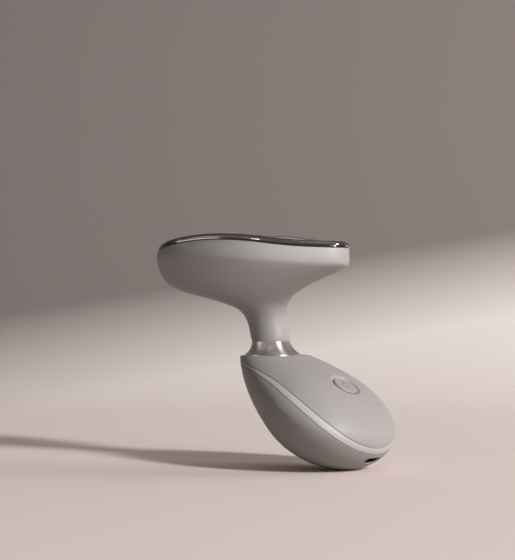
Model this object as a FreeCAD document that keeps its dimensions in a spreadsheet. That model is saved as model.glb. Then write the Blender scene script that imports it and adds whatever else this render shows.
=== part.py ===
import FreeCAD, Part
import math
import os
import re

# Light therapy face device: an egg handle with a button and a charging inlet,
# a flared metal collar, a slim neck and a long polished treatment head.
# Frame in millimetres: origin at the palm centre of the handle, +X towards the
# charging end, +Z up, mirror plane Y = 0.

SIZES = {
    # handle egg: two end radii, the side radius and the heights of its halves
    "tilt": 32.4,
    "egg_small": 15.3,
    "egg_big": 28.75,
    "egg_span": 29.5,
    "egg_side": 86.4,
    "egg_dome": 12.8,
    "egg_depth": 20.4,
    "wall": 1.8,
    "tongue_in": 1.0,
    "band_thick": 0.9,
    "reveal": 0.12,
    "tongue_drop": 1.3,
    "fit_gap": 0.1,
    "near": 0.001,
    # parting arcs above and below the trim band, as centres and radii
    "part_back": 40.2,
    "part_below": 63.5,
    "part_radius": 81.7,
    "band_back": 42.5,
    "band_below": 64.2,
    "band_radius": 81.7,
    # shelf under the collar
    "shelf_height": 20.1,
    "shelf_thick": 2.0,
    "neck_back": 27.5,
    # button and its dish
    "button_along": 2.2,
    "button_radius": 4.85,
    "button_top": 12.5,
    "button_crown": 0.12,
    "button_edge": 0.35,
    "button_gap": 0.35,
    "dish_floor": 11.8,
    "dish_flat": 5.75,
    "dish_edge": 6.5,
    "dish_rim": 12.6,
    "flange_radius": 6.0,
    "flange_top": 10.15,
    "flange_thick": 0.8,
    "button_stem": 1.6,
    # switch
    "switch_side": 6.0,
    "switch_tall": 3.4,
    "plunger_radius": 1.7,
    "plunger_top": 7.5,
    "plunger_long": 2.0,
    "plunger_gap": 0.12,
    "plunger_well": 1.7,
    # main board and frame
    "board_under": 2.0,
    "board_thick": 1.2,
    "board_rear": 13.0,
    "board_front": 18.0,
    "board_half": 15.0,
    "board_corner": 3.0,
    "post_along": 8.0,
    "post_out": 12.0,
    "post_radius": 2.2,
    "frame_thick": 1.6,
    "frame_rear": 17.0,
    "frame_front": 19.0,
    "frame_half": 18.0,
    "frame_corner": 8.0,
    "boss_along": 12.5,
    "boss_out": 14.6,
    "boss_radius": 2.7,
    "pilot": 0.8,
    "screw_hole": 1.15,
    "screw_head": 1.9,
    "screw_head_tall": 1.1,
    "screw_shank": 0.78,
    "screw_long": 6.0,
    # battery
    "cell_long": 26.0,
    "cell_wide": 19.0,
    "cell_thick": 6.5,
    "cell_edge": 1.5,
    "pad_thick": 1.0,
    "tray_thick": 1.2,
    "tray_deep": 6.0,
    "tray_gap": 0.2,
    "lead_radius": 0.5,
    "lead_hole": 0.75,
    "lead_out": 1.5,
    "cell_lead_back": 9.0,
    "charge_lead_along": 16.8,
    # header and board parts
    "header_rear": 14.0,
    "header_long": 4.5,
    "header_wide": 8.0,
    "header_tall": 3.6,
    "chip_side": 5.0,
    "chip_tall": 1.0,
    "coil_side": 4.0,
    "coil_tall": 2.2,
    "cap_long": 2.0,
    "cap_wide": 1.25,
    "cap_tall": 0.9,
    # charging inlet
    "inlet_low": 6.4,
    "inlet_wide": 8.94,
    "inlet_tall": 3.2,
    "inlet_long": 7.3,
    "inlet_front": 26.9,
    "inlet_skin": 0.3,
    "inlet_deep": 6.4,
    "tongue_wide": 6.7,
    "tongue_thick": 0.7,
    "tongue_long": 5.2,
    "charge_thick": 1.0,
    "charge_rear": 15.2,
    "charge_long": 8.0,
    "charge_wide": 14.0,
    "charge_post_along": 17.2,
    "charge_post_out": 5.0,
    "charge_post_radius": 1.7,
    # collar, stem and nut
    "collar_top": 25.7,
    "collar_top_radius": 7.6,
    "collar_foot_radius": 11.2,
    "collar_lip": 0.5,
    "collar_lean": 1.0,
    "stem_radius": 3.6,
    "stem_bore": 2.2,
    "stem_low": 15.0,
    "stem_grip": 7.3,
    "stem_flange": 4.4,
    "stem_flange_tall": 1.5,
    "nut_flats": 9.0,
    "nut_tall": 2.6,
    # head: heights of the loft and its largest outline
    "head_tall": 42.3,
    "head_tail": 56.7,
    "head_tip": 36.2,
    "head_half": 21.5,
    "head_pitch": 3.4,
    "rim_drop": 2.1,
    "rim_back": 14.5,
    "rim_tail_radius": 135.0,
    "rim_mid_radius": 165.0,
    "rim_tip_radius": 194.0,
    "rim_run": 24.0,
    "gasket_thick": 0.5,
    "gasket_inset": 0.45,
    "gasket_wide": 1.3,
    "plate_proud": 2.6,
    "plate_skin": 1.2,
    "plate_round": 1.7,
    "plate_inset": 0.15,
    "window_inset": 8.0,
    "window_flange": 1.6,
    "window_sink": 0.3,
    "window_low": 0.7,
    # light board
    "light_drop": 9.3,
    "light_thick": 1.2,
    "light_inset": 5.5,
    "light_boss_radius": 2.2,
    "boss_tail_gap": 20.7,
    "boss_tip_gap": 23.2,
    "boss_rear_side": 11.5,
    "boss_front_side": 15.5,
    "led_side": 2.8,
    "led_tall": 0.9,
    "led_tail_gap": 17.2,
    "led_tip_gap": 25.3,
    "led_side_gap": 14.0,
    # vibration motor
    "motor_drop": 5.2,
    "motor_radius": 3.5,
    "motor_tail_gap": 20.7,
    "motor_long": 14.0,
    "motor_edge": 0.5,
    "shaft_radius": 0.5,
    "shaft_gap": 0.1,
    "shaft_in": 3.0,
    "shaft_out": 6.5,
    "weight_radius": 3.0,
    "weight_long": 4.0,
    "weight_space": 1.8,
    "weight_hub": 1.1,
    "saddle_long": 10.0,
    "saddle_wide": 10.0,
    # harness from the light board to the main board
    "harness_radius": 1.3,
    "harness_bend": 3.6,
    "harness_run": 11.4,
}

# Heights and places that follow from the sizes above.
LAMPS_LONG = 7
DERIVED = {
    "rim_height": "=collar_top + head_tall - rim_drop",
    "light_seat": "=rim_height - light_drop",
    "stem_seat": "=collar_top + stem_grip",
    "motor_height": "=light_seat - motor_drop",
    "motor_rear": "=head_tail - motor_tail_gap",
    "light_boss_rear": "=head_tail - boss_tail_gap",
    "light_boss_front": "=head_tip - boss_tip_gap",
    "light_boss_rear_out": "=head_half - boss_rear_side",
    "light_boss_front_out": "=head_half - boss_front_side",
    "led_rear": "=head_tail - led_tail_gap",
    "led_front": "=head_tip - led_tip_gap",
    "led_pitch": "=(led_rear + led_front) / %d" % (LAMPS_LONG - 1),
    "led_row": "=head_half - led_side_gap",
}
CELLS = {**SIZES, **DERIVED}

doc = FreeCAD.newDocument("face_device")
sheet = doc.addObject("Spreadsheet::Sheet", "Dim")
for row, (alias, size) in enumerate(CELLS.items(), start=1):
    sheet.set("A%d" % row, alias)
    sheet.set("B%d" % row, str(size))
    sheet.setAlias("B%d" % row, alias)
doc.recompute()

V = FreeCAD.Vector
UP = V(0, 0, 1)
ALONG = V(1, 0, 0)
ACROSS = V(0, 1, 0)
ORIGIN = V(0, 0, 0)
pieces = []


def val(name):
    return float(getattr(sheet, name))


def cell(text):
    return re.sub("[a-z_]+", lambda m: "Dim." + m[0] if m[0] in CELLS else m[0], text)


def bind(obj, **cells):
    for prop, text in cells.items():
        obj.setExpression(prop.replace("__", "."), cell(text))
    return obj


def at(obj, x="0", y="0", z="0"):
    return bind(obj, Placement__Base__x=x, Placement__Base__y=y, Placement__Base__z=z)


def box(name, long, wide, tall, x, y, z):
    obj = bind(doc.addObject("Part::Box", name), Length=long, Width=wide, Height=tall)
    return at(obj, x, y, z)


def rod(name, radius, tall, x, y, z, axis=UP):
    obj = bind(doc.addObject("Part::Cylinder", name), Radius=radius, Height=tall)
    obj.Placement = FreeCAD.Placement(ORIGIN, FreeCAD.Rotation(UP, axis))
    return at(obj, x, y, z)


def join(name, shapes):
    obj = doc.addObject("Part::MultiFuse", name)
    obj.Shapes = shapes
    return obj


def group(name, members):
    obj = doc.addObject("Part::Compound", name)
    obj.Links = members
    return obj


def less(name, base, tools):
    obj = doc.addObject("Part::Cut", name)
    obj.Base = base
    obj.Tool = tools[0] if len(tools) == 1 else join(name + "_tools", tools)
    return obj


def round_edges(name, base, radius, choose):
    doc.recompute()
    obj = doc.addObject("Part::Fillet", name)
    obj.Base = base
    picked = [i for i, edge in enumerate(base.Shape.Edges, start=1) if choose(edge)]
    obj.Edges = [(i, val(radius), val(radius)) for i in picked]
    return obj


def runs(edge, way):
    ends = [v.Point for v in edge.Vertexes]
    return len(ends) == 2 and (ends[1] - ends[0]).cross(way).Length < val("near")


def upright(edge):
    return runs(edge, UP)


def lengthwise(edge):
    return runs(edge, ALONG)


def made(name, shape):
    obj = doc.addObject("Part::Feature", name)
    obj.Shape = shape.Solids[0] if len(shape.Solids) == 1 else shape
    return obj


def keep(obj, label, tilted=False):
    obj.Label = label
    if tilted:
        obj.Placement = FreeCAD.Placement(ORIGIN, FreeCAD.Rotation(ACROSS, val("tilt")))
        obj.setExpression("Placement.Rotation.Angle", cell("tilt"))
    pieces.append(obj)
    return obj


def new_body(name):
    return doc.addObject("PartDesign::Body", name)


def plane(body, role):
    return next(f for f in body.Origin.OriginFeatures if f.Role == role)


def sketch(body, name, role):
    obj = body.newObject("Sketcher::SketchObject", name)
    obj.AttachmentSupport = [(plane(body, role), "")]
    obj.MapMode = "FlatFace"
    return obj


def turned(body, name, edges):
    profile = sketch(body, name + "_profile", "XZ_Plane")
    profile.addGeometry(edges, False)
    obj = body.newObject("PartDesign::Revolution", name + "_turn")
    obj.Profile = profile
    obj.ReferenceAxis = (profile, ["V_Axis"])
    obj.Angle = 360
    return obj


def path(points):
    ring = points + points[:1]
    return [Part.LineSegment(V(*a, 0), V(*b, 0)) for a, b in zip(ring, ring[1:])]


def tilted(shape):
    turn = FreeCAD.Placement(ORIGIN, FreeCAD.Rotation(ACROSS, val("tilt")))
    out = shape.copy()
    out.Placement = turn.multiply(out.Placement)
    return out


# Handle egg: a half outline of three tangent arcs is revolved half a turn each
# way about its axis, and each half is drawn to its own height.
def egg(inset):
    small, big, span, side = (val("egg_" + k) for k in ("small", "big", "span", "side"))
    reach_small, reach_big = side - small, side - big
    along = (reach_small ** 2 - reach_big ** 2 + span ** 2) / (2 * span)
    centre = V(along - span, -math.sqrt(reach_small ** 2 - along ** 2), 0)
    rear, front = V(-span, 0, 0), ORIGIN
    ray_rear, ray_front = (rear - centre).normalize(), (front - centre).normalize()
    ray_mid = (ray_rear + ray_front).normalize()
    radius = side - inset

    def end_arc(middle, ray, pole, size):
        half = (ray + pole).normalize()
        return middle + ray * size, middle + half * size, middle + pole * size

    r1, r2, r3 = end_arc(rear, ray_rear, -ALONG, small - inset)
    f1, f2, f3 = end_arc(front, ray_front, ALONG, big - inset)
    outline = Part.Wire([
        Part.Arc(r3, r2, r1).toShape(),
        Part.Arc(r1, centre + ray_mid * radius, f1).toShape(),
        Part.Arc(f1, f2, f3).toShape(),
        Part.LineSegment(f3, r3).toShape(),
    ])
    halves = []
    for turn, height in ((180, val("egg_dome")), (-180, val("egg_depth"))):
        stretch = FreeCAD.Matrix()
        stretch.A33 = (height - inset) / (big - inset)
        halves.append(Part.Face(outline).revolve(ORIGIN, ALONG, turn).transformGeometry(stretch))
    return tilted(halves[0].fuse(halves[1]).Solids[0])


# Region below a parting arc: a cylinder across the handle.
def under(which, change):
    reach = 2 * val("egg_big")
    base = V(-val(which + "_back"), -reach, -val(which + "_below"))
    return Part.makeCylinder(val(which + "_radius") + change, 2 * reach, base, ACROSS)


def above_plane(height):
    reach = 4 * val("egg_big")
    return Part.makeBox(2 * reach, 2 * reach, reach, V(-reach, -reach, height))


def column(radius, low, high):
    return Part.makeCylinder(radius, high - low, V(-val("neck_back"), 0, low), UP)


# Post standing on the inside of a moulding, in the handle's tilted frame.
def post(x, y, low, high, radius):
    return tilted(Part.makeCylinder(radius, high - low, V(x, y, low), UP))


egg_skin = egg(0)
egg_core = egg(val("wall"))
egg_tongue = egg(val("tongue_in"))
egg_groove = egg(val("tongue_in") - val("fit_gap"))
egg_band = egg(val("band_thick"))
floor_low = -val("egg_depth")

# Upper cover: moulded dome with a flat shelf for the collar, a tongue that
# reaches behind the trim band, and the dished hole of the button.
body = egg_skin.cut(under("part", val("reveal")))
tongue = egg_tongue.cut(under("band", -val("tongue_drop")))
cover = body.fuse(tongue).cut(above_plane(val("shelf_height")))
cover = cover.cut(egg_core.cut(above_plane(val("shelf_height") - val("shelf_thick"))))
cover = cover.cut(column(val("stem_radius") + val("fit_gap"), 0, 2 * val("shelf_height")))
hole = val("button_radius") + val("button_gap")
dish = Part.Face(Part.Wire([e.toShape() for e in [
    Part.LineSegment(V(0, 0, val("flange_top") - val("wall")), V(hole, 0, val("flange_top") - val("wall"))),
    Part.LineSegment(V(hole, 0, val("flange_top") - val("wall")), V(hole, 0, val("dish_floor"))),
    Part.LineSegment(V(hole, 0, val("dish_floor")), V(val("dish_flat"), 0, val("dish_floor"))),
    Part.LineSegment(V(val("dish_flat"), 0, val("dish_floor")), V(val("dish_edge"), 0, val("dish_rim"))),
    Part.LineSegment(V(val("dish_edge"), 0, val("dish_rim")), V(val("dish_edge"), 0, val("egg_depth"))),
    Part.LineSegment(V(val("dish_edge"), 0, val("egg_depth")), V(0, 0, val("egg_depth"))),
    Part.LineSegment(V(0, 0, val("egg_depth")), V(0, 0, val("flange_top") - val("wall"))),
]])).revolve(ORIGIN, UP, 360)
dish.translate(V(val("button_along"), 0, 0))
keep(made("Cover", cover.cut(tilted(dish))), "upper_cover")

# Trim band: thin metallised ring round the tongue, taller at the charging end.
band = egg_skin.common(under("part", -val("reveal"))).cut(under("band", val("reveal"))).cut(egg_band)
keep(made("Band", band.cut(above_plane(val("shelf_height")))), "trim_band")

# Lower shell: deep moulding with a groove for the tongue, screw bosses for the
# frame, two posts for the charging board and the slot of the inlet.
shell = egg_skin.cut(egg_core).common(under("band", -val("reveal")))
shell = shell.cut(egg_groove.cut(under("band", -val("tongue_drop") - val("fit_gap"))))
for x in (-val("boss_along"), val("boss_along")):
    for y in (-val("boss_out"), val("boss_out")):
        shell = shell.fuse(post(x, y, floor_low, -val("frame_thick"), val("boss_radius")).common(egg_skin))
        shell = shell.cut(post(x, y, -val("frame_thick") - val("screw_long"), 0, val("pilot")))
charge_under = -val("inlet_low") - val("charge_thick")
for y in (-val("charge_post_out"), val("charge_post_out")):
    x = val("charge_post_along")
    shell = shell.fuse(post(x, y, floor_low, charge_under, val("charge_post_radius")).common(egg_skin))
    shell = shell.cut(post(x, y, charge_under - val("screw_long"), 0, val("pilot")))


def slot(wide, tall, low, rear, front):
    block = Part.makeBox(front - rear, wide, tall, V(rear, -wide / 2, low))
    return block.makeFillet(tall / 2 - val("near"), [e for e in block.Edges if lengthwise(e)])


gap = val("fit_gap")
mouth = slot(val("inlet_wide") + 2 * gap, val("inlet_tall") + 2 * gap, -val("inlet_low") - gap,
             val("charge_rear"), val("inlet_front") + val("egg_small"))
keep(made("Shell", shell.cut(tilted(mouth)).Solids[0]), "lower_shell")

# Power button: turned profile of cap, retaining flange and stem.
button = new_body("Button")
stem = val("button_stem")
low = val("plunger_top")
cap = val("button_radius")
cap_low = val("flange_top")
edge = val("button_edge")
turned(button, "Button", path([
    (0, low),
    (stem, low),
    (stem, cap_low - val("flange_thick")),
    (val("flange_radius"), cap_low - val("flange_thick")),
    (val("flange_radius"), cap_low),
    (cap, cap_low),
    (cap, val("button_top") - edge),
    (cap - edge, val("button_top")),
    (0, val("button_top") + val("button_crown")),
]))
keep(button, "power_button", True)
at(button, "button_along * cos(tilt)", "0", "-button_along * sin(tilt)")

# Switch on the board: a square can with a well, and the plunger in it.
board_top = "board_under + board_thick"
can = box("SwitchCan", "switch_side", "switch_side", "switch_tall",
          "button_along - switch_side / 2", "-switch_side / 2", board_top)
well = rod("SwitchWell", "plunger_radius + plunger_gap", "plunger_well",
           "button_along", "0", board_top + " + switch_tall - plunger_well")
keep(less("Switch", can, [well]), "tact_switch", True)
pin = rod("PlungerPin", "plunger_radius", "plunger_long", "button_along", "0", "plunger_top - plunger_long")
keep(group("Plunger", [pin]), "switch_plunger", True)

# Inner frame: plate with rounded corners, posts for the board and a tray for
# the cell below, screwed to the four bosses of the lower shell.
ends = [(x, y) for x in ("-", "") for y in ("-", "")]
plate = box("FramePlate", "frame_rear + frame_front", "2 * frame_half", "frame_thick",
            "-frame_rear", "-frame_half", "-frame_thick")
plate = round_edges("FrameRound", plate, "frame_corner", upright)
posts = [rod("FramePost%d" % i, "post_radius", "board_under", x + "post_along", y + "post_out", "0")
         for i, (x, y) in enumerate(ends)]
room_long, room_wide = "(cell_long + 2 * tray_gap)", "(cell_wide + 2 * tray_gap)"
tray_long, tray_wide = room_long + " + 2 * tray_thick", room_wide + " + 2 * tray_thick"
tray_low = "-frame_thick - tray_deep"
tray = box("TrayOuter", tray_long, tray_wide, "tray_deep",
           "-" + room_long + " / 2 - tray_thick", "-" + room_wide + " / 2 - tray_thick", tray_low)
room = box("TrayInner", room_long, room_wide, "tray_deep",
           "-" + room_long + " / 2", "-" + room_wide + " / 2", tray_low)
frame_holes = [rod("FrameHole%d" % i, "screw_hole", "frame_thick",
                   x + "boss_along", y + "boss_out", "-frame_thick") for i, (x, y) in enumerate(ends)]
frame_holes += [rod("PostHole%d" % i, "pilot", "board_under + frame_thick",
                    x + "post_along", y + "post_out", "-frame_thick") for i, (x, y) in enumerate(ends)]
lead_places = [(x, y) for x in ("-cell_lead_back", "charge_lead_along") for y in ("-lead_out", "lead_out")]
lead_ways = [rod("LeadWay%d" % i, "lead_hole", "frame_thick", x, y, "-frame_thick")
             for i, (x, y) in enumerate(lead_places)]
walls = less("TrayWalls", tray, [room])
keep(less("Frame", join("FrameSolid", [plate, walls] + posts), frame_holes + lead_ways), "inner_frame", True)


# Screws: a turned head and shank, shared by every small fastener.
def screw(name, x, y, seat):
    head = rod(name + "Head", "screw_head", "screw_head_tall", x, y, seat)
    shank = rod(name + "Shank", "screw_shank", "screw_long - fit_gap", x, y, seat + " - screw_long + fit_gap")
    return join(name, [head, shank])


keep(group("FrameScrews", [screw("FrameScrew%d" % i, x + "boss_along", y + "boss_out", "0")
                           for i, (x, y) in enumerate(ends)]), "frame_screws", True)

# Battery: a pouch cell in the tray, a foam pad above it and its two leads.
pouch = box("PouchBlock", "cell_long", "cell_wide", "cell_thick", "-cell_long / 2", "-cell_wide / 2",
            "-frame_thick - pad_thick - cell_thick")
pouch = round_edges("Pouch", pouch, "cell_edge", lengthwise)
keep(group("Cell", [pouch]), "battery", True)
foam = box("FoamBlock", "cell_long - 2 * cell_edge", "cell_wide - 2 * cell_edge", "pad_thick",
           "-cell_long / 2 + cell_edge", "-cell_wide / 2 + cell_edge", "-frame_thick - pad_thick")
foam_ways = [rod("FoamWay%d" % i, "lead_hole", "pad_thick", "-cell_lead_back", y + "lead_out",
                 "-frame_thick - pad_thick") for i, y in enumerate(("-", ""))]
keep(less("Foam", foam, foam_ways), "battery_pad", True)
keep(group("CellLeads", [rod("CellLead%d" % i, "lead_radius", "board_under + frame_thick + pad_thick",
                             "-cell_lead_back", y + "lead_out", "-frame_thick - pad_thick")
                         for i, y in enumerate(("-", ""))]), "battery_leads", True)

# Main board: rounded panel on the posts, with its screws and its parts.
panel = box("PanelBlock", "board_rear + board_front", "2 * board_half", "board_thick",
            "-board_rear", "-board_half", "board_under")
panel = round_edges("PanelRound", panel, "board_corner", upright)
panel_holes = [rod("PanelHole%d" % i, "screw_hole", "board_thick",
                   x + "post_along", y + "post_out", "board_under") for i, (x, y) in enumerate(ends)]
keep(less("Panel", panel, panel_holes), "main_board", True)
keep(group("BoardScrews", [join("BoardScrew%d" % i, [
    rod("BoardScrewHead%d" % i, "screw_head", "screw_head_tall", x + "post_along", y + "post_out", board_top),
    rod("BoardScrewShank%d" % i, "screw_shank", board_top, x + "post_along", y + "post_out", "0"),
]) for i, (x, y) in enumerate(ends)]), "board_screws", True)
socket = box("HeaderBlock", "header_long", "header_wide", "header_tall",
             "-header_rear", "-header_wide / 2", board_top)
keep(group("Header", [socket]), "wire_header", True)
chip = ["chip_side", "chip_side", "chip_tall"]
coil = ["coil_side", "coil_side", "coil_tall"]
cap_block = ["cap_long", "cap_wide", "cap_tall"]
chips = [
    box("ChargeChip", *chip, "post_along + chip_tall", "-chip_side / 2", board_top),
    box("ControlChip", *chip, "-chip_side", "switch_side", board_top),
    box("Coil", *coil, "-chip_side", "-switch_side - coil_side", board_top),
    box("InputCap", *cap_block, "post_along - cap_long", "switch_side", board_top),
    box("OutputCap", *cap_block, "post_along + cap_long", "switch_side - cap_long", board_top),
]
keep(group("BoardParts", chips), "board_components", True)

# Charging inlet: folded metal shell with its tongue, on a small board of its own.
inlet_low = -val("inlet_low")
inlet_rear = val("inlet_front") - val("inlet_long")
skin = val("inlet_skin")
outer = slot(val("inlet_wide"), val("inlet_tall"), inlet_low, inlet_rear, val("inlet_front"))
inner = slot(val("inlet_wide") - 2 * skin, val("inlet_tall") - 2 * skin, inlet_low + skin,
             val("inlet_front") - val("inlet_deep"), val("inlet_front") + skin)
keep(made("Inlet", outer.cut(inner)), "usb_socket", True)
keep(group("InletTongue", [box("TongueBlade", "tongue_long", "tongue_wide", "tongue_thick",
                               "inlet_front - inlet_deep", "-tongue_wide / 2",
                               "-inlet_low + inlet_tall / 2 - tongue_thick / 2")]), "usb_tongue", True)
small = box("ChargePanel", "charge_long", "charge_wide", "charge_thick", "charge_rear", "-charge_wide / 2",
            "-inlet_low - charge_thick")
charge_sides = [(i, y + "charge_post_out") for i, y in enumerate(("-", ""))]
small_holes = [rod("ChargeHole%d" % i, "screw_hole", "charge_thick", "charge_post_along", y,
                   "-inlet_low - charge_thick") for i, y in charge_sides]
keep(less("ChargeBoard", small, small_holes), "charge_board", True)
keep(group("ChargeScrews", [screw("ChargeScrew%d" % i, "charge_post_along", y, "-inlet_low")
                            for i, y in charge_sides]), "charge_screws", True)
keep(group("ChargeLeads", [rod("ChargeLead%d" % i, "lead_radius", "inlet_low + board_under",
                               "charge_lead_along", y + "lead_out", "-inlet_low")
                           for i, y in enumerate(("-", ""))]), "charge_leads", True)

# Collar: polished ring with a concave flare that leans with the neck, clamped
# on the shelf. Each row holds shares of height, of flare and of lean.
collar_shares = [
    (0.00, 1.00, 0.00),
    (0.17, 0.64, 0.15),
    (0.38, 0.36, 0.37),
    (0.66, 0.13, 0.65),
    (1.00, 0.00, 1.00),
]
foot = V(-val("neck_back") + val("collar_lean") / 2, 0, val("shelf_height"))
foot_radius = val("collar_foot_radius")
neck_radius = val("collar_top_radius")
bore = val("stem_radius") + gap
flare_low = val("collar_lip")
flare_tall = val("collar_top") - val("shelf_height") - flare_low
rings = []
for up, flare, lean in collar_shares:
    middle = foot + V(-lean * val("collar_lean"), 0, flare_low + up * flare_tall)
    radius = neck_radius + flare * (foot_radius - neck_radius)
    rings.append(Part.Wire(Part.Circle(middle, UP, radius).toShape()))
collar = Part.makeLoft(rings, True, False).fuse(Part.makeCylinder(foot_radius, val("collar_lip"), foot, UP))
keep(made("Collar", collar.cut(column(bore, 0, 2 * val("collar_top")))), "neck_collar")

# Stem: hollow metal tube with a flange in the head, drawn up by a nut.
tube = val("stem_radius")
hollow = val("stem_bore")
seat = val("stem_seat")
flange = val("stem_flange")
tube_body = new_body("Stem")
turned(tube_body, "Stem", path([
    (hollow, val("stem_low")), (tube, val("stem_low")), (tube, seat), (flange, seat),
    (flange, seat + val("stem_flange_tall")), (hollow, seat + val("stem_flange_tall"))]))
keep(tube_body, "neck_stem")
at(tube_body, "-neck_back")
nut_place = ("-neck_back", "0", "shelf_height - shelf_thick - nut_tall")
hexagon = doc.addObject("Part::Prism", "NutBlank")
at(bind(hexagon, Circumradius="nut_flats / sqrt(3)", Height="nut_tall"), *nut_place)
nut_hole = rod("NutHole", "stem_radius", "nut_tall", *nut_place)
keep(less("Nut", hexagon, [nut_hole]), "neck_nut")

# Head: the loft runs through outlines of two half ellipses. Each row holds
# shares of height, tail, tip, half width, place of the widest line and pitch.
head_shares = [
    (0.000, 0.141, 0.193, 0.349, 0.008, 0.00),
    (0.125, 0.172, 0.174, 0.340, 0.026, 0.00),
    (0.243, 0.219, 0.157, 0.358, 0.044, 0.00),
    (0.314, 0.301, 0.164, 0.386, 0.076, 0.10),
    (0.362, 0.440, 0.186, 0.419, 0.132, 0.20),
    (0.409, 0.646, 0.232, 0.470, 0.203, 0.35),
    (0.456, 0.842, 0.296, 0.535, 0.300, 0.50),
    (0.527, 0.966, 0.436, 0.642, 0.423, 0.70),
    (0.598, 0.995, 0.606, 0.753, 0.494, 0.85),
    (0.669, 1.000, 0.799, 0.863, 0.522, 1.00),
    (0.716, 0.990, 0.920, 0.935, 0.533, 1.00),
    (0.740, 0.983, 0.967, 0.967, 0.533, 1.00),
    (0.759, 0.977, 0.988, 0.986, 0.533, 1.00),
    (0.778, 0.972, 0.997, 0.996, 0.533, 1.00),
    (0.806, 0.968, 1.000, 1.000, 0.533, 1.00),
    (0.846, 0.963, 1.000, 1.000, 0.533, 1.00),
    (0.917, 0.959, 0.997, 1.000, 0.533, 1.00),
    (1.000, 0.955, 0.993, 0.995, 0.533, 1.00),
]
rim_row = -2


def outline(tail, tip, half, widest, height):
    halves = []
    for reach, first, pole in ((tail - widest, ACROSS, -ALONG), (tip + widest, -ACROSS, ALONG)):
        stretch = FreeCAD.Matrix()
        stretch.A11 = reach
        stretch.A22 = half
        stretch.move(V(-val("neck_back") - widest, 0, height))
        halves.append(Part.Arc(first, pole, -first).toShape().transformGeometry(stretch))
    return Part.Wire(halves)


def head_outline(share_row, inset, lift):
    up, tail, tip, half, widest, pitch = share_row
    reach = tail * val("head_tail"), tip * val("head_tip"), half * val("head_half")
    height = val("collar_top") + up * val("head_tall") + lift
    wire = outline(*(size - inset for size in reach), widest * val("head_tail"), height)
    wire.rotate(V(-val("neck_back"), 0, height), ACROSS, pitch * val("head_pitch"))
    return wire


def head_column(inset):
    row = head_shares[rim_row][:-1] + (0,)
    face = Part.Face(head_outline(row, inset, -val("head_tall")))
    return face.extrude(UP * (2 * val("head_tall")))


# Region above the rim: a wave of three tangent arcs, convex over the tail and
# slightly hollow at the tip, extruded across the head.
def above_rim(lift):
    apex = V(-val("neck_back") - val("rim_back"), 0, val("rim_height") + lift)
    tail_reach = val("head_tail")
    tip_reach = val("head_tip")
    side = val("head_tall")

    def on_arc(centre, radius, run):
        return centre + V(run, 0, math.copysign(math.sqrt(radius ** 2 - run ** 2), radius))

    tail_mid = apex - UP * val("rim_tail_radius")
    mid_mid = apex - UP * val("rim_mid_radius")
    run = val("rim_run")
    join_point = on_arc(mid_mid, val("rim_mid_radius"), run)
    slope = run / val("rim_mid_radius")
    hollow_radius = val("rim_tip_radius")
    hollow_mid = join_point + V(slope, 0, math.sqrt(1 - slope ** 2)) * hollow_radius
    back = -slope * hollow_radius
    tail_end, tail_half = (on_arc(tail_mid, val("rim_tail_radius"), -tail_reach / part) for part in (1, 2))
    tip_half, tip_end = (on_arc(hollow_mid, -hollow_radius, place) for place in (back / 2, tip_reach / 2))
    arcs = [
        (tail_end, tail_half, apex),
        (apex, on_arc(mid_mid, val("rim_mid_radius"), run / 2), join_point),
        (join_point, tip_half, tip_end),
    ]
    first, last = arcs[0][0], arcs[-1][-1]
    top = UP * side
    edges = [Part.Arc(*points).toShape() for points in arcs]
    corners = [last, last + top, first + top, first]
    edges += [Part.LineSegment(a, b).toShape() for a, b in zip(corners, corners[1:])]
    face = Part.Face(Part.Wire(edges))
    face.translate(-ACROSS * side)
    return face.extrude(ACROSS * (2 * side))


# Head shell: hollow loft with the neck in one moulding, a ledge for the stem
# and four bosses for the light board.
head_skin = Part.makeLoft([head_outline(row, 0, 0) for row in head_shares], True, False)
hollow_rows = head_shares[1:]
floor_share = 0.8
head_lift = val("wall") * floor_share
head_core = Part.makeLoft([head_outline(row, val("wall"), head_lift) for row in hollow_rows], True, False)
room_half = 2 * val("head_tail")
ledge = V(-room_half, -room_half, val("stem_seat") - room_half)
head_core = head_core.cut(Part.makeBox(2 * room_half, 2 * room_half, room_half, ledge))
head = head_skin.cut(head_core).cut(above_rim(0))
head = head.cut(column(val("stem_radius") + gap, 0, val("light_seat")))
flange_room = val("stem_seat") + 2 * val("stem_flange_tall")
head = head.cut(column(val("stem_flange") + gap, val("stem_seat"), flange_room))
neck_at = -val("neck_back")
rear_at = neck_at - val("light_boss_rear")
front_at = neck_at + val("light_boss_front")
light_bosses = [(rear_at, val("light_boss_rear_out")), (rear_at, -val("light_boss_rear_out")),
                (front_at, val("light_boss_front_out")), (front_at, -val("light_boss_front_out"))]
light_seat = val("light_seat")
for x, y in light_bosses:
    boss = Part.makeCylinder(val("light_boss_radius"), light_seat, V(x, y, 0), UP).common(head_skin)
    bore_foot = V(x, y, light_seat - val("screw_long"))
    head = head.fuse(boss).cut(Part.makeCylinder(val("pilot"), val("screw_long"), bore_foot, UP))
keep(made("Head", head), "head_shell")

# Gasket: thin ring along the rim, set back so that a fine dark line shows.
ring = head_column(val("gasket_inset")).cut(head_column(val("gasket_inset") + val("gasket_wide")))
ring = ring.common(above_rim(0)).cut(above_rim(val("gasket_thick")))
keep(made("Gasket", ring), "plate_gasket")

# Treatment plate: pressed and polished metal lid with a rolled edge and the
# long opening of the light window.
plate_block = head_column(val("plate_inset"))
plate = plate_block.common(above_rim(val("gasket_thick"))).cut(above_rim(val("plate_proud")))
side_probe = plate_block.Shells[0]


def top_edge(edge):
    middle = edge.valueAt((edge.FirstParameter + edge.LastParameter) / 2)
    on_top = above_rim(val("plate_proud")).distToShape(Part.Vertex(middle))[0] < gap
    on_side = side_probe.distToShape(Part.Vertex(middle))[0] < gap
    return on_top and on_side and not upright(edge)


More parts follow.
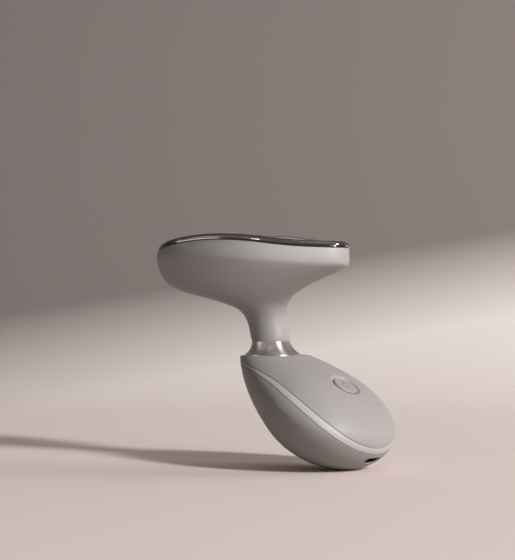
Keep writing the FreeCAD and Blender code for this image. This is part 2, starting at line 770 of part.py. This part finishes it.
plate = plate.makeFillet(val("plate_round"), [e for e in plate.Edges if top_edge(e)])
lid_under = val("plate_proud") - val("plate_skin")
lid_room = head_column(val("plate_inset") + val("plate_skin")).cut(above_rim(lid_under))
window_edge = val("plate_inset") + val("window_inset")
plate = plate.cut(lid_room).cut(head_column(window_edge))
keep(made("Plate", plate), "treatment_plate")

# Light window: frosted lens that fills the opening from below on a flange.
lens = head_column(window_edge + gap).cut(above_rim(val("plate_proud") - val("window_sink")))
lens = lens.common(above_rim(val("window_low")))
rim_flange = head_column(window_edge - val("window_flange")).common(above_rim(val("window_low")))
lens = lens.fuse(rim_flange.cut(above_rim(lid_under)))
keep(made("Window", lens), "led_window")

# Light board: panel of the same outline on the bosses, with its lamps and screws.
slab = Part.makeBox(2 * room_half, 2 * room_half, val("light_thick"), V(-room_half, -room_half, light_seat))
light = head_column(val("light_inset")).common(slab)
for x, y in light_bosses:
    light = light.cut(Part.makeCylinder(val("screw_hole"), val("light_thick"), V(x, y, light_seat), UP))
keep(made("LightBoard", light), "led_board")
lamp_seat = "light_seat + light_thick"
lamps = []
for row, places in ((-1, range(1, LAMPS_LONG - 2)), (0, range(LAMPS_LONG)), (1, range(1, LAMPS_LONG - 2))):
    for i in places:
        lamps.append(box("Lamp%d_%d" % (row + 1, i), "led_side", "led_side", "led_tall",
                         "-neck_back - led_rear + %d * led_pitch - led_side / 2" % i,
                         "%d * led_row - led_side / 2" % row, lamp_seat))
keep(group("Lamps", lamps), "leds")
screw_places = [("- light_boss_rear", y + "light_boss_rear_out") for y in ("", "-")]
screw_places += [("+ light_boss_front", y + "light_boss_front_out") for y in ("", "-")]
keep(group("LightScrews", [screw("LightScrew%d" % i, "-neck_back " + x, y, lamp_seat)
                           for i, (x, y) in enumerate(screw_places)]), "led_board_screws")

# Vibration motor: can in a rubber saddle on the floor of the head, with a
# shaft and a half-round weight that hangs at rest.
motor_x = "-neck_back - motor_rear"
can = rod("MotorCan", "motor_radius", "motor_long", motor_x, "0", "motor_height", ALONG)
can = round_edges("MotorRound", can, "motor_edge", lambda e: len(e.Vertexes) == 1)
bearing = rod("MotorBearing", "shaft_radius + shaft_gap", "shaft_in + shaft_gap",
              motor_x + " + motor_long - shaft_in - shaft_gap", "0", "motor_height", ALONG)
keep(less("Motor", can, [bearing]), "vibration_motor")
shaft_x = motor_x + " + motor_long - shaft_in"
keep(rod("Shaft", "shaft_radius", "shaft_in + shaft_out", shaft_x, "0", "motor_height", ALONG), "motor_shaft")
weight_x = motor_x + " + motor_long + weight_space"
disc = rod("WeightDisc", "weight_radius", "weight_long", weight_x, "0", "motor_height", ALONG)
off = box("WeightOff", "weight_long", "2 * weight_radius", "weight_radius",
          weight_x, "-weight_radius", "motor_height")
hub = rod("WeightHub", "weight_hub", "weight_long", weight_x, "0", "motor_height", ALONG)
half_disc = less("WeightHalf", disc, [off])
eye = rod("WeightEye", "shaft_radius", "weight_long", weight_x, "0", "motor_height", ALONG)
keep(less("Weight", join("WeightSolid", [half_disc, hub]), [eye]), "eccentric_weight")
saddle_x = neck_at - val("motor_rear") + (val("motor_long") - val("saddle_long")) / 2
saddle = Part.makeBox(val("saddle_long"), val("saddle_wide"), val("motor_height") - val("collar_top"),
                      V(saddle_x, -val("saddle_wide") / 2, val("collar_top"))).common(head_core)
motor_end = V(saddle_x, 0, val("motor_height"))
saddle = saddle.cut(Part.makeCylinder(val("motor_radius"), val("saddle_long"), motor_end, ALONG))
keep(made("Saddle", saddle), "motor_saddle")

# Harness: one cable down the stem from the light board, bent to the header.
bend = val("harness_bend")
run_z = val("harness_run")
corner = V(neck_at + bend, 0, run_z + bend)
diagonal = math.sqrt(0.5) * bend
route = Part.Wire([
    Part.LineSegment(V(neck_at, 0, light_seat), V(neck_at, 0, corner.z)).toShape(),
    Part.Arc(V(neck_at, 0, corner.z), corner + V(-diagonal, 0, -diagonal), V(corner.x, 0, run_z)).toShape(),
    Part.LineSegment(V(corner.x, 0, run_z), V(0, 0, run_z)).toShape(),
])
section = Part.Wire(Part.Circle(V(neck_at, 0, light_seat), UP, val("harness_radius")).toShape())
cable = Part.BRepOffsetAPI.MakePipeShell(route)
cable.add(section)
cable.build()
cable.makeSolid()
cable = cable.shape()
print("harness volume over section times length", cable.Volume / (Part.Face(section).Area * route.Length))
doc.recompute()
stop = next(p for p in pieces if p.Label == "wire_header").Shape
keep(made("Harness", max(cable.cut(stop).Solids, key=lambda s: s.Volume)), "head_harness")

doc.recompute()
os.makedirs("parts", exist_ok=True)
for piece in pieces:
    shape = piece.Shape
    faulty = [flag for flag in piece.State if flag in ("Invalid", "Error")]
    if faulty or shape.isNull() or not shape.isValid():
        raise RuntimeError(piece.Label + " is not sound")
    shape.exportStep("parts/" + piece.Label + ".step")
    print(piece.Label, len(shape.Solids), round(shape.Volume))
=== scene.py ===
import math

import bpy
from mathutils import Matrix, Vector


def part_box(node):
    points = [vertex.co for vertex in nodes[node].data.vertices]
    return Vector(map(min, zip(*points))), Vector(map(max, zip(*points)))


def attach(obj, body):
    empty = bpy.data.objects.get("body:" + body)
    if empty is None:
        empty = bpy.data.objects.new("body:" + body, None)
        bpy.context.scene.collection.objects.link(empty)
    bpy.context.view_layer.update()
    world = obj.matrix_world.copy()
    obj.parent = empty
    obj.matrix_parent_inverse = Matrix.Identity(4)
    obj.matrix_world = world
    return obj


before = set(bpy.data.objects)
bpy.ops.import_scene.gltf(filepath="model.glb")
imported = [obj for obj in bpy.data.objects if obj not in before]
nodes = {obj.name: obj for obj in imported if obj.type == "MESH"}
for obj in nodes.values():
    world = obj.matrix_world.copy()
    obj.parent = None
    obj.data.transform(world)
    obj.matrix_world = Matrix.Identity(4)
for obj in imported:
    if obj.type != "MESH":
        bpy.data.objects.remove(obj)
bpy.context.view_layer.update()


# Lower shell: the deep underside of the handle, injection moulded in warm grey
# plastic and sprayed with a satin lacquer that holds a little pearl. It carries
# the inner frame on four bosses and has the slot of the charging inlet.
WARM_GREY = (0.41, 0.378, 0.362, 1)
PEARL = (0.60, 0.56, 0.54, 1)
NOISE_REACH = (0.3, 0.7)
MIX_FIRST, MIX_SECOND, MIX_RESULT = 6, 7, 2


def add(tree, kind, **settings):
    node = tree.nodes.new(kind)
    for key, value in settings.items():
        setattr(node, key, value)
    return node


def noise(tree, place, scale, detail):
    node = add(tree, "ShaderNodeTexNoise")
    node.inputs["Scale"].default_value = scale
    node.inputs["Detail"].default_value = detail
    tree.links.new(place, node.inputs["Vector"])
    return node.outputs["Fac"]


def spread(tree, value, given_range, wanted_range):
    node = add(tree, "ShaderNodeMapRange")
    sockets = ("From Min", "From Max", "To Min", "To Max")
    for socket, number in zip(sockets, given_range + wanted_range):
        node.inputs[socket].default_value = number
    tree.links.new(value, node.inputs["Value"])
    return node.outputs["Result"]


def mixed(tree, factor, first, second):
    node = add(tree, "ShaderNodeMix", data_type="RGBA")
    tree.links.new(factor, node.inputs["Factor"])
    for source, socket in ((first, node.inputs[MIX_FIRST]), (second, node.inputs[MIX_SECOND])):
        if isinstance(source, tuple):
            socket.default_value = source
        else:
            tree.links.new(source, socket)
    return node.outputs[MIX_RESULT]


def summed(tree, first, second):
    node = add(tree, "ShaderNodeMath", operation="ADD")
    tree.links.new(first, node.inputs[0])
    tree.links.new(second, node.inputs[1])
    return node.outputs["Value"]


def shaded(tree, colour, mask, change):
    node = add(tree, "ShaderNodeHueSaturation")
    tree.links.new(colour, node.inputs["Color"])
    tree.links.new(spread(tree, mask, NOISE_REACH, change), node.inputs["Value"])
    return node.outputs["Color"]


def texture_group(name, colours):
    group = bpy.data.node_groups.new(name, "ShaderNodeTree")
    sockets = [(colour, "INPUT", "NodeSocketColor") for colour in colours]
    sockets += [("Roughness", "INPUT", "NodeSocketFloat"), ("Colour", "OUTPUT", "NodeSocketColor"),
                ("Roughness", "OUTPUT", "NodeSocketFloat"), ("Height", "OUTPUT", "NodeSocketFloat")]
    for socket, side, kind in sockets:
        group.interface.new_socket(name=socket, in_out=side, socket_type=kind)
    given = add(group, "NodeGroupInput").outputs
    made = add(group, "NodeGroupOutput").inputs
    return group, given, made, add(group, "ShaderNodeTexCoord").outputs["Object"]


def vary_roughness(tree, given, made, mask, change):
    shift = spread(tree, mask, NOISE_REACH, change)
    tree.links.new(summed(tree, given["Roughness"], shift), made["Roughness"])


def make_finish(name, texture, inputs, metallic=0.0, coat=0.0, coat_roughness=0.1, bump=0.02,
                bump_reach=0.0001):
    material = bpy.data.materials.new(name)
    material.use_nodes = True
    tree = material.node_tree
    shader = tree.nodes["Principled BSDF"]
    skin = add(tree, "ShaderNodeGroup", node_tree=texture)
    for socket, value in inputs.items():
        skin.inputs[socket].default_value = value
    relief = add(tree, "ShaderNodeBump")
    relief.inputs["Strength"].default_value = bump
    relief.inputs["Distance"].default_value = bump_reach
    tree.links.new(skin.outputs["Colour"], shader.inputs["Base Color"])
    tree.links.new(skin.outputs["Roughness"], shader.inputs["Roughness"])
    tree.links.new(skin.outputs["Height"], relief.inputs["Height"])
    tree.links.new(relief.outputs["Normal"], shader.inputs["Normal"])
    shader.inputs["Metallic"].default_value = metallic
    shader.inputs["Coat Weight"].default_value = coat
    shader.inputs["Coat Roughness"].default_value = coat_roughness
    return material


# Lacquer has a slow drift of tone, small pearl flecks and faint orange peel.
lacquer_texture, given, made, place = texture_group("lacquer_texture", ("Colour", "Fleck"))
drift = noise(lacquer_texture, place, scale=40, detail=2)
base = shaded(lacquer_texture, given["Colour"], drift, (0.97, 1.03))
flecks = spread(lacquer_texture, noise(lacquer_texture, place, scale=5200, detail=1), (0.62, 0.76), (0, 0.4))
lacquer_texture.links.new(mixed(lacquer_texture, flecks, base, given["Fleck"]), made["Colour"])
vary_roughness(lacquer_texture, given, made, drift, (-0.03, 0.03))
lacquer_texture.links.new(noise(lacquer_texture, place, scale=1400, detail=2), made["Height"])


def lacquer(name, colour, fleck, roughness, **settings):
    inputs = {"Colour": colour, "Fleck": fleck, "Roughness": roughness}
    return make_finish(name, lacquer_texture, inputs, **settings)


def dress(material, *names):
    for name in names:
        nodes[name].data.materials.clear()
        nodes[name].data.materials.append(material)


body_lacquer = lacquer("body_lacquer", WARM_GREY, PEARL, 0.6, metallic=0.1, coat=0.06, coat_roughness=0.25)
dress(body_lacquer, "lower_shell")

# Charging inlet: a folded steel shell round a black moulded tongue, with gold
# plated pads on both faces of the tongue. It is soldered to a small glass fibre
# board, which two screws hold in the shell and two sleeved leads run from.
metal_texture, given, made, place = texture_group("metal_texture", ("Colour", "Stain"))
smear = noise(metal_texture, place, scale=120, detail=3)
stains = spread(metal_texture, smear, (0.35, 0.75), (0, 0.6))
metal_texture.links.new(mixed(metal_texture, stains, given["Colour"], given["Stain"]), made["Colour"])
vary_roughness(metal_texture, given, made, smear, (-0.03, 0.05))
metal_texture.links.new(noise(metal_texture, place, scale=2600, detail=2), made["Height"])


def metal(name, colour, stain, roughness, metallic=1.0, **settings):
    inputs = {"Colour": colour, "Stain": stain, "Roughness": roughness}
    return make_finish(name, metal_texture, inputs, metallic=metallic, **settings)


steel = metal("drawn_steel", (0.42, 0.41, 0.40, 1), (0.34, 0.33, 0.325, 1), 0.34)
dress(steel, "usb_socket", "charge_screws")

grain_texture, given, made, place = texture_group("moulded_grain", ("Colour",))
speck = noise(grain_texture, place, scale=900, detail=3)
grain_texture.links.new(shaded(grain_texture, given["Colour"], speck, (0.9, 1.1)), made["Colour"])
vary_roughness(grain_texture, given, made, speck, (-0.05, 0.05))
grain_texture.links.new(speck, made["Height"])


def moulded(name, colour, roughness, **settings):
    return make_finish(name, grain_texture, {"Colour": colour, "Roughness": roughness}, **settings)


black_plastic = moulded("black_plastic", (0.02, 0.02, 0.021, 1), 0.5, bump=0.15)
dress(black_plastic, "usb_tongue")
lead_sleeve = moulded("lead_sleeve", (0.30, 0.02, 0.02, 1), 0.45, bump=0.1)
dress(lead_sleeve, "charge_leads")

# The boards have copper runs, which show as a faint relief under the mask.
mask_texture, given, made, place = texture_group("board_mask", ("Colour", "Run"))
runs = add(mask_texture, "ShaderNodeTexBrick", offset=0.5, squash=1.0)
runs.inputs["Scale"].default_value = 260
runs.inputs["Mortar Size"].default_value = 0.06
mask_texture.links.new(place, runs.inputs["Vector"])
mask_colour = mixed(mask_texture, runs.outputs["Fac"], given["Colour"], given["Run"])
mask_texture.links.new(mask_colour, made["Colour"])
vary_roughness(mask_texture, given, made, noise(mask_texture, place, scale=300, detail=2), (-0.04, 0.04))
mask_texture.links.new(runs.outputs["Fac"], made["Height"])


def board_mask(name, colour, run, coat):
    inputs = {"Colour": colour, "Run": run, "Roughness": 0.35}
    return make_finish(name, mask_texture, inputs, coat=coat, bump=0.2)


board_green = board_mask("board_green", (0.012, 0.07, 0.035, 1), (0.03, 0.13, 0.06, 1), coat=0.3)
dress(board_green, "charge_board")

MM = 0.001
HANDLE_TILT = Matrix.Rotation(math.radians(32.4), 4, "Y")
PAD_SIZE = (3.6 * MM, 0.28 * MM, 0.05 * MM)
PAD_EDGE = 0.02 * MM
PAD_PITCH = 0.5 * MM
PADS_ACROSS = 12
TONGUE_MIDDLE = 23.7 * MM
TONGUE_FACES = (-4.44 * MM, -5.16 * MM)


def name_piece(name):
    piece = bpy.context.object
    piece.name = name
    piece.data.name = name
    return piece


def apply_modifiers(piece):
    for modifier in list(piece.modifiers):
        bpy.ops.object.modifier_apply(modifier=modifier.name)


def settle(piece, place):
    piece.matrix_world = place
    bpy.ops.object.transform_apply(location=True, rotation=True, scale=True)


pad_rows = []
for face_height in TONGUE_FACES:
    bpy.ops.object.select_all(action="DESELECT")
    bpy.ops.mesh.primitive_cube_add(size=1, scale=PAD_SIZE)
    bpy.ops.object.transform_apply(scale=True)
    row = name_piece("usb_contacts")
    edge = row.modifiers.new("edge", "BEVEL")
    edge.width = PAD_EDGE
    edge.segments = 2
    comb = row.modifiers.new("comb", "ARRAY")
    comb.count = PADS_ACROSS
    comb.use_relative_offset = False
    comb.use_constant_offset = True
    comb.constant_offset_displace = (0, PAD_PITCH, 0)
    apply_modifiers(row)
    first_pad = -PAD_PITCH * (PADS_ACROSS - 1) / 2
    settle(row, HANDLE_TILT @ Matrix.Translation((TONGUE_MIDDLE, first_pad, face_height)))
    pad_rows.append(row)
bpy.ops.object.select_all(action="DESELECT")
for row in pad_rows:
    row.select_set(True)
bpy.context.view_layer.objects.active = pad_rows[0]
bpy.ops.object.join()
contacts = name_piece("usb_contacts")
contacts.data.materials.append(metal("contact_gold", (0.83, 0.62, 0.26, 1), (0.7, 0.5, 0.2, 1), 0.25))
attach(contacts, "housing")

# Inner frame: black glass filled nylon plate with a tray for the cell and four
# posts for the board. Four screws hold it to the bosses of the lower shell.
dress(black_plastic, "inner_frame")
dress(steel, "frame_screws")

# Pouch cell: rechargeable cell in a soft foil pouch. It lies in the tray on a
# foam pad, and two sleeved leads run from it to the board.
cell_foil = metal("cell_foil", (0.62, 0.62, 0.63, 1), (0.5, 0.5, 0.52, 1), 0.42, metallic=0.8, bump=0.1,
                  bump_reach=0.0003)
dress(cell_foil, "battery")
soft_foam = moulded("soft_foam", (0.03, 0.03, 0.03, 1), 0.85, bump=0.5)
dress(soft_foam, "battery_pad")
dress(lead_sleeve, "battery_leads")

# Main board: glass fibre board under a green mask, with black moulded parts and
# a nylon header for the cable of the head. Four screws hold it to the posts.
dress(board_green, "main_board")
dress(black_plastic, "board_components")
dress(moulded("header_nylon", (0.66, 0.62, 0.53, 1), 0.5, bump=0.1), "wire_header")
dress(steel, "board_screws")

# Trim band: thin moulded ring between shell and cover, metallised in a pale
# satin silver and snapped round the tongue of the cover.
band_silver = lacquer("band_silver", (0.63, 0.595, 0.58, 1), (0.76, 0.73, 0.71, 1), 0.52, metallic=0.15,
                      coat=0.03, coat_roughness=0.2)
dress(band_silver, "trim_band")

# Upper cover: the dome of the handle, moulded and lacquered as the shell is. It
# has the flat shelf under the collar and the dished hole of the button.
dress(body_lacquer, "upper_cover")

# Switch: steel case with a black plunger, soldered to the main board under the
# button. Its spring returns the button.
dress(steel, "tact_switch")
dress(black_plastic, "switch_plunger")

# Power button: lacquered cap that slides in the dish of the cover, with a raised
# on and off sign, a broken ring with a bar, moulded in one with the cap.
CAP_MIDDLE = (2.2 * MM, 0, 12.585 * MM)
SIGN_RADIUS = 1.5 * MM
SIGN_LINE = 0.2 * MM
SIGN_BREAK = math.radians(32)
SIGN_HEIGHT_SHARE = 0.6
BAR_LONG = 1.5 * MM
BAR_MIDDLE = 1.45 * MM
BAR_EDGE = 0.08 * MM
LINE_SIDES = 12
dress(body_lacquer, "power_button")
bpy.ops.object.select_all(action="DESELECT")
bpy.ops.mesh.primitive_torus_add(major_radius=SIGN_RADIUS, minor_radius=SIGN_LINE, major_segments=90,
                                 minor_segments=LINE_SIDES)
sign = name_piece("power_sign")
bpy.ops.object.mode_set(mode="EDIT")
bpy.ops.mesh.select_all(action="DESELECT")
bpy.ops.mesh.select_mode(type="FACE")
bpy.ops.object.mode_set(mode="OBJECT")
for face in sign.data.polygons:
    face.select = abs(math.atan2(face.center.y, -face.center.x)) < SIGN_BREAK
bpy.ops.object.mode_set(mode="EDIT")
bpy.ops.mesh.delete(type="FACE")
bpy.ops.mesh.select_all(action="DESELECT")
bpy.ops.mesh.select_mode(type="EDGE")
bpy.ops.mesh.select_non_manifold()
bpy.ops.mesh.edge_face_add()
bpy.ops.object.mode_set(mode="OBJECT")
bpy.ops.mesh.primitive_cylinder_add(vertices=LINE_SIDES, radius=SIGN_LINE, depth=BAR_LONG,
                                    location=(-BAR_MIDDLE, 0, 0), rotation=(0, math.radians(90), 0))
bar = bpy.context.object
soften = bar.modifiers.new("soften", "BEVEL")
soften.width = BAR_EDGE
soften.segments = 2
apply_modifiers(bar)
bpy.ops.object.transform_apply(location=True, rotation=True, scale=True)
sign.select_set(True)
bpy.context.view_layer.objects.active = sign
bpy.ops.object.join()
bpy.ops.object.shade_smooth()
settle(sign, HANDLE_TILT @ Matrix.Translation(CAP_MIDDLE) @ Matrix.Diagonal((1, 1, SIGN_HEIGHT_SHARE, 1)))
sign.data.materials.append(lacquer("sign_lacquer", (0.30, 0.267, 0.254, 1), WARM_GREY, 0.35, coat=0.3))
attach(sign, "button")

# Collar, stem and nut: the flared collar is turned and polished, so its gloss is
# drawn out upright. A hollow steel stem runs through it from the head, and a
# brass nut under the shelf draws head, collar and cover together.
collar_chrome = metal("collar_chrome", (0.68, 0.65, 0.635, 1), (0.63, 0.60, 0.585, 1), 0.3, bump=0.01)
tree = collar_chrome.node_tree
shader = tree.nodes["Principled BSDF"]
lathe_marks = add(tree, "ShaderNodeTangent", direction_type="RADIAL", axis="Z")
tree.links.new(lathe_marks.outputs["Tangent"], shader.inputs["Tangent"])
shader.inputs["Anisotropic"].default_value = 0.85
shader.inputs["Anisotropic Rotation"].default_value = 0.25
dress(collar_chrome, "neck_collar")
dress(steel, "neck_stem")
cut_brass = metal("cut_brass", (0.70, 0.52, 0.25, 1), (0.55, 0.38, 0.17, 1), 0.3)
dress(cut_brass, "neck_nut")

# Head: neck and head in one moulding, lacquered as the handle is. The flange of
# the stem holds it from inside, and four bosses carry the light board.
dress(body_lacquer, "head_shell")

# Massage motor: small steel motor with a brass weight off its shaft's middle. It
# lies in a rubber saddle on the floor of the head.
dress(steel, "vibration_motor", "motor_shaft")
dress(cut_brass, "eccentric_weight")
soft_rubber = moulded("soft_rubber", (0.03, 0.03, 0.03, 1), 0.85, bump=0.5)
dress(soft_rubber, "motor_saddle")

# Light board: white masked board with resin lamps under the window, held by four
# screws. A sleeved cable runs from it down the stem to the main board.
board_white = board_mask("board_white", (0.74, 0.74, 0.72, 1), (0.6, 0.6, 0.58, 1), coat=0.2)
dress(board_white, "led_board")
dress(moulded("lamp_resin", (0.85, 0.66, 0.18, 1), 0.25, bump=0.05), "leds")
dress(steel, "led_board_screws")
dress(lead_sleeve, "head_harness")

# Treatment plate and window: pressed metal lid, plated to a dark mirror, on a
# thin rubber gasket. A frosted lens is set into it from below.
plate_chrome = metal("plate_chrome", (0.24, 0.222, 0.21, 1), (0.21, 0.195, 0.185, 1), 0.08, bump=0.01)
dress(plate_chrome, "treatment_plate")
dress(soft_rubber, "plate_gasket")
window_frost = moulded("window_frost", (0.72, 0.66, 0.645, 1), 0.4, coat=0.2, bump=0.1)
window_frost.node_tree.nodes["Principled BSDF"].inputs["Transmission Weight"].default_value = 0.35
dress(window_frost, "led_window")

# Floor and backdrop: one pale sheet of paper that lies under the device and bends
# up into a wall behind it. Above a slanted line the wall carries a painted shadow,
# and towards the bend the floor is painted paler, as painted light.
VIEW_TURN = math.radians(38)
AHEAD = Vector((-math.sin(VIEW_TURN), math.cos(VIEW_TURN), 0))
SHEET_SIZE = 6
WALL_TALL = 4
BEND_REACH = 0.4
SHEET_NEARER = 2.3
# Slope and blur of the edge of the painted shadow on the upper wall.
PAINTED_SHADOW_SLOPE = 0.173
PAINTED_SHADOW_BLUR = (0.03, 0.095)
# The floor turns paler from behind the device into the bend: painted light.
FLOOR_FADE = (2.35, 2.8)
FLOOR_NEAR = (0.90, 0.76, 0.705, 1)
FLOOR_FAR_PAINTED_LIGHT = (1.0, 0.895, 0.855, 1)
# Colour of the painted shadow on the wall above the slanted line.
WALL_PAINTED_SHADOW = (0.285, 0.24, 0.224, 1)
BOUNCE_TONE = (0.47, 0.43, 0.412, 1)


def select_edges(piece, wanted):
    for line in piece.data.edges:
        line.select = all(wanted(piece.data.vertices[end].co) for end in line.vertices)


def seen(tree):
    rays = add(tree, "ShaderNodeLightPath").outputs
    mirrored = summed(tree, rays["Is Glossy Ray"], rays["Is Transmission Ray"])
    return summed(tree, rays["Is Camera Ray"], mirrored)


bpy.ops.object.select_all(action="DESELECT")
bpy.ops.mesh.primitive_plane_add(size=SHEET_SIZE)
sheet = name_piece("backdrop_sheet")
bpy.ops.object.mode_set(mode="EDIT")
bpy.ops.mesh.select_all(action="DESELECT")
bpy.ops.mesh.select_mode(type="EDGE")
bpy.ops.object.mode_set(mode="OBJECT")
select_edges(sheet, lambda corner: corner.y > 0)
bpy.ops.object.mode_set(mode="EDIT")
bpy.ops.mesh.extrude_region_move(TRANSFORM_OT_translate={"value": (0, 0, WALL_TALL)})
bpy.ops.object.mode_set(mode="OBJECT")
select_edges(sheet, lambda corner: corner.y > 0 and corner.z < WALL_TALL / 2)
bpy.ops.object.mode_set(mode="EDIT")
bpy.ops.mesh.bevel(offset=BEND_REACH, segments=24, affect="EDGES")
bpy.ops.object.mode_set(mode="OBJECT")
bpy.ops.object.shade_smooth()
floor_middle = Vector((0, 0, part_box("lower_shell")[0].z)) - AHEAD * SHEET_NEARER
sheet.matrix_world = Matrix.Translation(floor_middle) @ Matrix.Rotation(VIEW_TURN, 4, "Z")
sheet_paper = bpy.data.materials.new("sheet_paper")
sheet_paper.use_nodes = True
tree = sheet_paper.node_tree
shader = tree.nodes["Principled BSDF"]
place = add(tree, "ShaderNodeTexCoord").outputs["Object"]
# Painted shadow: the wall turns darker above a slanted line that rises to the right.
shadow_slant = add(tree, "ShaderNodeVectorMath", operation="DOT_PRODUCT")
shadow_slant.inputs[1].default_value = (-PAINTED_SHADOW_SLOPE, 0, 1)
tree.links.new(place, shadow_slant.inputs[0])
split = add(tree, "ShaderNodeSeparateXYZ")
tree.links.new(place, split.inputs["Vector"])
# Painted light: the floor is made paler from behind the device into the bend.
floor_with_painted_light = mixed(tree, spread(tree, split.outputs["Y"], FLOOR_FADE, (0, 1)), FLOOR_NEAR, FLOOR_FAR_PAINTED_LIGHT)
# This tone carries the painted light on the floor and the painted shadow on the wall.
paper_with_painted_light = mixed(tree, spread(tree, shadow_slant.outputs["Value"], PAINTED_SHADOW_BLUR, (0, 1)), floor_with_painted_light, WALL_PAINTED_SHADOW)
tree.links.new(mixed(tree, seen(tree), BOUNCE_TONE, paper_with_painted_light), shader.inputs["Base Color"])
shader.inputs["Roughness"].default_value = 0.85
sheet.data.materials.append(sheet_paper)

# Camera: level, at the height of the neck, turned to the near side of the head.
# Its lens and shift are worked out from the frame's pixels.
NECK_PLACE = Vector((-0.0284, 0, 0.0390))
CAMERA_AWAY = 0.600
FRAME_PIXELS = 560
FOCAL_PIXELS = 1500
SHIFT_PIXELS = (-12.5, 28)
camera_data = bpy.data.cameras.new("photo_camera")
camera_data.lens = camera_data.sensor_width * FOCAL_PIXELS / FRAME_PIXELS
camera_data.shift_x = SHIFT_PIXELS[0] / FRAME_PIXELS
camera_data.shift_y = SHIFT_PIXELS[1] / FRAME_PIXELS
camera_data.clip_start = 0.01
camera = bpy.data.objects.new("photo_camera", camera_data)
camera.location = NECK_PLACE - AHEAD * CAMERA_AWAY
camera.rotation_euler = (math.radians(90), 0, VIEW_TURN)
bpy.context.scene.collection.objects.link(camera)
bpy.context.scene.camera = camera

# Lamps: the key draws the shadow, with softer lamps behind, low and above. Three
# cards show in gloss alone, one spot lights the wall of the head and another
# gives the plate its glint. Turn and rise are degrees from the near side.
PLATE_PLACE = Vector((-0.03, 0, 0.066))
HEAD_WALL = Vector((-0.002, -0.0185, 0.069))
PLATE_EDGE = Vector((-0.013, -0.027, 0.066))


def lamp(name, kind, turn, rise, reach, power, aim):
    turn, rise = math.radians(turn), math.radians(rise)
    way = Vector((math.sin(turn) * math.cos(rise), -math.cos(turn) * math.cos(rise), math.sin(rise)))
    light = bpy.data.objects.new(name, bpy.data.lights.new(name, kind))
    light.data.energy = power
    light.rotation_mode = "QUATERNION"
    light.rotation_quaternion = way.to_track_quat("Z", "Y")
    light.location = aim + way * reach
    bpy.context.scene.collection.objects.link(light)
    return light


def panel(name, shape, turn, rise, reach, power, aim, width, tall):
    light = lamp(name, "AREA", turn, rise, reach, power, aim)
    light.data.shape = shape
    light.data.size = width
    light.data.size_y = tall
    return light


def spot(name, turn, rise, reach, power, aim, beam, radius):
    light = lamp(name, "SPOT", turn, rise, reach, power, aim)
    light.data.spot_size = math.radians(beam)
    light.data.spot_blend = 1.0
    light.data.shadow_soft_size = radius


panel("key_lamp", "RECTANGLE", 89, 29, 3.0, 72.5, NECK_PLACE, width=0.355, tall=0.68)
rim_lamp = panel("rim_lamp", "ELLIPSE", 135, 18, 2.2, 12.8, NECK_PLACE, width=0.9, tall=0.9)
rim_lamp.visible_glossy = False
panel("low_lamp", "ELLIPSE", 76, 8, 1.2, 1.26, NECK_PLACE, width=0.24, tall=0.24)
panel("top_lamp", "ELLIPSE", 60, 75, 1.2, 1.0, NECK_PLACE, width=0.9, tall=0.9)
spot("wall_spot", 66, 6, 0.6, 18, HEAD_WALL, beam=4.3, radius=0.01)
spot("glint_spot", -14, 19, 1.0, 5, PLATE_EDGE, beam=4.0, radius=0.05)
front_card = panel("front_card", "RECTANGLE", -38, 26, 1.0, 0.16, PLATE_PLACE, width=0.2, tall=0.2)
side_card = panel("side_card", "RECTANGLE", -138, 30, 1.0, 1.39, PLATE_PLACE, width=0.7, tall=0.35)
low_card = panel("low_card", "RECTANGLE", -38, 5, 1.0, 0.35, PLATE_PLACE, width=0.35, tall=0.16)
for card in (front_card, side_card, low_card):
    card.visible_diffuse = False

# Room: dim at the level of the floor and paler above. It shows behind the sheet
# and in the metal, and lights nothing by itself.
ROOM_LOW = (0.10, 0.09, 0.086, 1)
ROOM_HIGH = (0.36, 0.323, 0.308, 1)
ROOM_FADE = (0.02, 0.3)
BLACK = (0.0, 0.0, 0.0, 1)
room = bpy.data.worlds.new("room")
bpy.context.scene.world = room
room.use_nodes = True
tree = room.node_tree
split = add(tree, "ShaderNodeSeparateXYZ")
tree.links.new(add(tree, "ShaderNodeTexCoord").outputs["Generated"], split.inputs["Vector"])
room_tone = mixed(tree, spread(tree, split.outputs["Z"], ROOM_FADE, (0, 1)), ROOM_LOW, ROOM_HIGH)
tree.links.new(mixed(tree, seen(tree), BLACK, room_tone), tree.nodes["Background"].inputs["Color"])
bpy.context.scene.view_settings.view_transform = "Standard"
